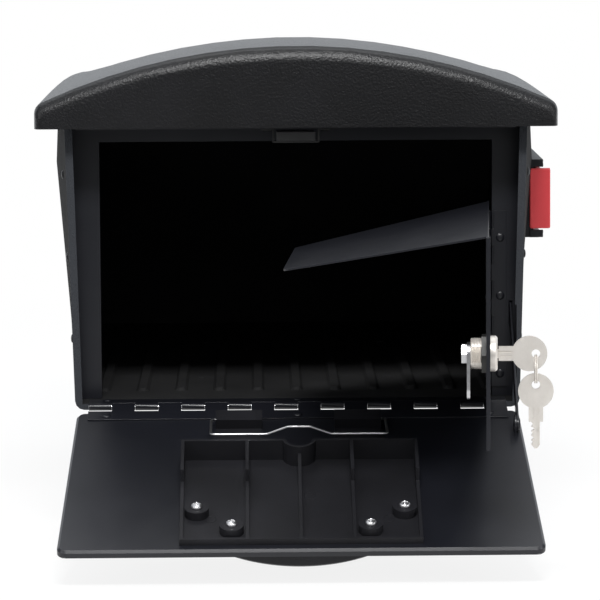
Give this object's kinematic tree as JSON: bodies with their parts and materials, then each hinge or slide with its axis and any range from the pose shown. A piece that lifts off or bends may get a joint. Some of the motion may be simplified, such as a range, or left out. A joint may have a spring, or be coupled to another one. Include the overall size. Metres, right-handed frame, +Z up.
{
  "type": "post-mount mailbox",
  "caption": "Black locking mailbox for a post: arched hood, drop-down front door with mail tray and wire clip, inner door with cam lock and keys, red side flag.",
  "frame": {"origin": "centre of the four post-mount holes on the floor's underside", "axes": "+X to the right seen from the front (flag side), +Y to the back, +Z up"},
  "size_m": [0.3523, 0.7144, 0.3224],
  "materials": {
    "body_black": "satin",
    "roof_black": "grained matte",
    "steel_black": "satin black coat",
    "fitting_black": "satin",
    "plain_steel": "zinc plated",
    "magnet_dark": "sintered",
    "nickel": "nickel plated",
    "flag_red": "semi-gloss"
  },
  "bodies": {
    "box": {"body_shell": "body_black", "roof": "roof_black", "roof_screws": "plain_steel", "front_frame": "steel_black", "frame_rivets": "steel_black", "catch_strap": "plain_steel", "catch_magnet": "magnet_dark", "catch_rivets": "plain_steel", "door_hinge_body_leaf": "steel_black", "door_hinge_pin": "plain_steel", "body_leaf_rivets": "steel_black", "inner_hinge_frame_leaf": "steel_black", "inner_hinge_pin": "plain_steel", "frame_leaf_rivets": "steel_black", "flag_bracket": "fitting_black", "flag_pin": "plain_steel", "bracket_screws": "plain_steel"},
    "front_door": {"front_door": "steel_black", "door_hinge_door_leaf": "steel_black", "door_leaf_rivets": "steel_black", "mail_tray": "fitting_black", "tray_screws": "plain_steel", "door_handle": "fitting_black", "stay_rivet": "steel_black"},
    "mail_clip": {"mail_clip": "plain_steel"},
    "door_stay": {"door_stay": "steel_black"},
    "inner_door": {"inner_door": "steel_black", "inner_hinge_door_leaf": "steel_black", "inner_leaf_rivets": "steel_black", "lock_housing": "nickel", "lock_nut": "plain_steel"},
    "lock": {"lock_plug": "nickel", "lock_cam": "plain_steel", "cam_nut": "plain_steel", "key": "nickel"},
    "key_ring": {"key_ring": "nickel", "spare_key": "nickel"},
    "flag": {"flag": "flag_red"}
  },
  "joints": [
    {"name": "front_door_hinge", "type": "hinge", "parent": "box", "child": "front_door", "pos_m": [0, -0.2367, 0.0023], "axis": [-1, 0, 0], "range_deg": [0, 22]},
    {"name": "door_stay_pivot", "type": "hinge", "parent": "front_door", "child": "door_stay", "pos_m": [0.1446, -0.27444, -0.00583], "axis": [1, 0, 0], "range_deg": [0, 14.82]},
    {"name": "mail_clip_swing", "type": "hinge", "parent": "front_door", "child": "mail_clip", "pos_m": [0, -0.266, -0.00269], "axis": [-1, 0, 0], "range_deg": [0, 70]},
    {"name": "inner_door_hinge", "type": "hinge", "parent": "box", "child": "inner_door", "pos_m": [0.1304, -0.2069, 0.07], "axis": [0, 0, -1], "range_deg": [0, 86.3]},
    {"name": "lock_turn", "type": "hinge", "parent": "inner_door", "child": "lock", "pos_m": [0.11489, -0.45141, 0.0638], "axis": [-0.9979, 0.0645, 0], "range_deg": [0, 90]},
    {"name": "key_ring_swing", "type": "hinge", "parent": "lock", "child": "key_ring", "pos_m": [0.14393, -0.45329, 0.05741], "axis": [-0.9979, 0.0645, 0], "range_deg": [-90, 0]},
    {"name": "flag_swing", "type": "hinge", "parent": "box", "child": "flag", "pos_m": [0.1706, -0.014, 0.1313], "axis": [0, 0, 1], "range_deg": [0, 90]}
  ],
  "couplings": [
    {"joint": "door_stay_pivot", "follows": "front_door_hinge", "ratio": 0.6736},
    {"joint": "key_ring_swing", "follows": "lock_turn", "ratio": -1}
  ]
}
